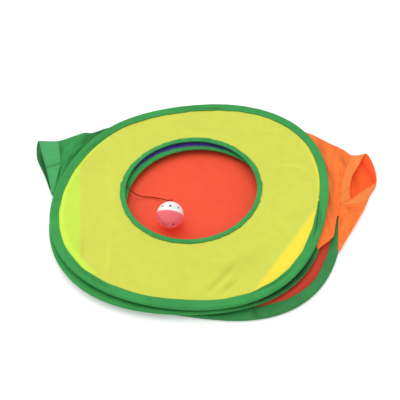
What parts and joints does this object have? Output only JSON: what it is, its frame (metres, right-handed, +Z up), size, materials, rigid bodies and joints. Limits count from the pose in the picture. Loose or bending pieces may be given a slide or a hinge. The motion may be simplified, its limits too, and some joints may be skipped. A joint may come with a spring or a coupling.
{
  "type": "cat tunnel",
  "caption": "Pop-up cat tunnel folded flat: sprung fabric hoops, holed panels, pleated walls, side sleeves and a tethered bell ball.",
  "frame": {"origin": "middle of the base panel's flat underside, on the floor", "axes": "+Z up, +X to the right towards the orange sleeve, +Y away from the viewer"},
  "size_m": [0.509, 0.3998, 0.0401],
  "materials": {
    "binding_tape": "woven polyester binding tape, green",
    "green_cloth": "thin polyester taffeta, green",
    "yellow_cloth": "thin polyester taffeta, lime yellow",
    "purple_cloth": "thin polyester taffeta, purple",
    "red_cloth": "thin polyester taffeta, red",
    "orange_cloth": "thin polyester taffeta, orange",
    "spring_steel": "drawn spring wire and pressed crimps",
    "white_plastic": "moulded, glossy white",
    "pink_plastic": "moulded, see-through pink",
    "bell_brass": "pressed and polished",
    "toy_string": "twisted dark red string"
  },
  "bodies": {
    "base": {"base_hoop_wire": "spring_steel", "base_wire_crimp": "spring_steel", "base_hoop_binding": "binding_tape", "base_panel": "red_cloth", "lower_front_wall": "red_cloth", "lower_back_wall": "red_cloth"},
    "middle": {"middle_hoop_wire": "spring_steel", "middle_wire_crimp": "spring_steel", "middle_hoop_binding": "binding_tape", "middle_panel": "purple_cloth", "middle_hole_binding": "binding_tape", "green_side_wall": "green_cloth", "orange_side_wall": "orange_cloth", "front_wall": "purple_cloth", "back_wall": "purple_cloth", "green_sleeve": "green_cloth", "orange_sleeve": "orange_cloth"},
    "green_mouth": {"green_sleeve_hem": "green_cloth"},
    "orange_mouth": {"orange_sleeve_hem": "orange_cloth"},
    "top": {"top_hoop_wire": "spring_steel", "top_wire_crimp": "spring_steel", "top_hoop_binding": "binding_tape", "top_panel": "yellow_cloth", "top_hole_binding": "binding_tape"},
    "tether_root": {"binding_knot": "toy_string"},
    "tether": {"toy_cord": "toy_string", "ball_knot": "toy_string"},
    "ball": {"ball_upper_shell": "white_plastic", "ball_lower_shell": "pink_plastic"},
    "bell": {"bell_shell": "bell_brass", "bell_pea": "spring_steel"}
  },
  "joints": [
    {"name": "lower_section_rise", "type": "slide", "parent": "base", "child": "middle", "axis": [0, 0, 1], "range_m": [0, 0.2], "deforming": ["lower_front_wall", "lower_back_wall"]},
    {"name": "upper_section_rise", "type": "slide", "parent": "middle", "child": "top", "axis": [0, 0, 1], "range_m": [0, 0.2], "deforming": ["green_side_wall", "orange_side_wall", "front_wall", "back_wall"]},
    {"name": "green_sleeve_pull", "type": "slide", "parent": "middle", "child": "green_mouth", "axis": [-0.992, 0.126, 0], "range_m": [0, 0.06], "deforming": ["green_sleeve"]},
    {"name": "orange_sleeve_pull", "type": "slide", "parent": "middle", "child": "orange_mouth", "axis": [0.9848, -0.174, 0], "range_m": [0, 0.06], "deforming": ["orange_sleeve"]},
    {"name": "tether_sweep", "type": "hinge", "parent": "top", "child": "tether_root", "pos_m": [-0.12684, 0.03158, 0.01374], "axis": [0, 0, 1], "range_deg": [-2, 45]},
    {"name": "tether_swing", "type": "hinge", "parent": "tether_root", "child": "tether", "pos_m": [-0.12684, 0.03158, 0.01374], "axis": [0.6952, 0.7188, 0], "range_deg": [0, 78]},
    {"name": "ball_spin", "type": "hinge", "parent": "tether", "child": "ball", "pos_m": [-0.058, -0.035, 0.0206], "axis": [0.1099, 0.9341, 0.3397], "continuous": true},
    {"name": "bell_rattle", "type": "slide", "parent": "ball", "child": "bell", "axis": [0, 0, 1], "range_m": [0, 0.02]}
  ],
  "couplings": [
    {"joint": "upper_section_rise", "follows": "lower_section_rise", "ratio": 1},
    {"joint": "tether_swing", "follows": "lower_section_rise", "rad_per_m": 6.8}
  ]
}
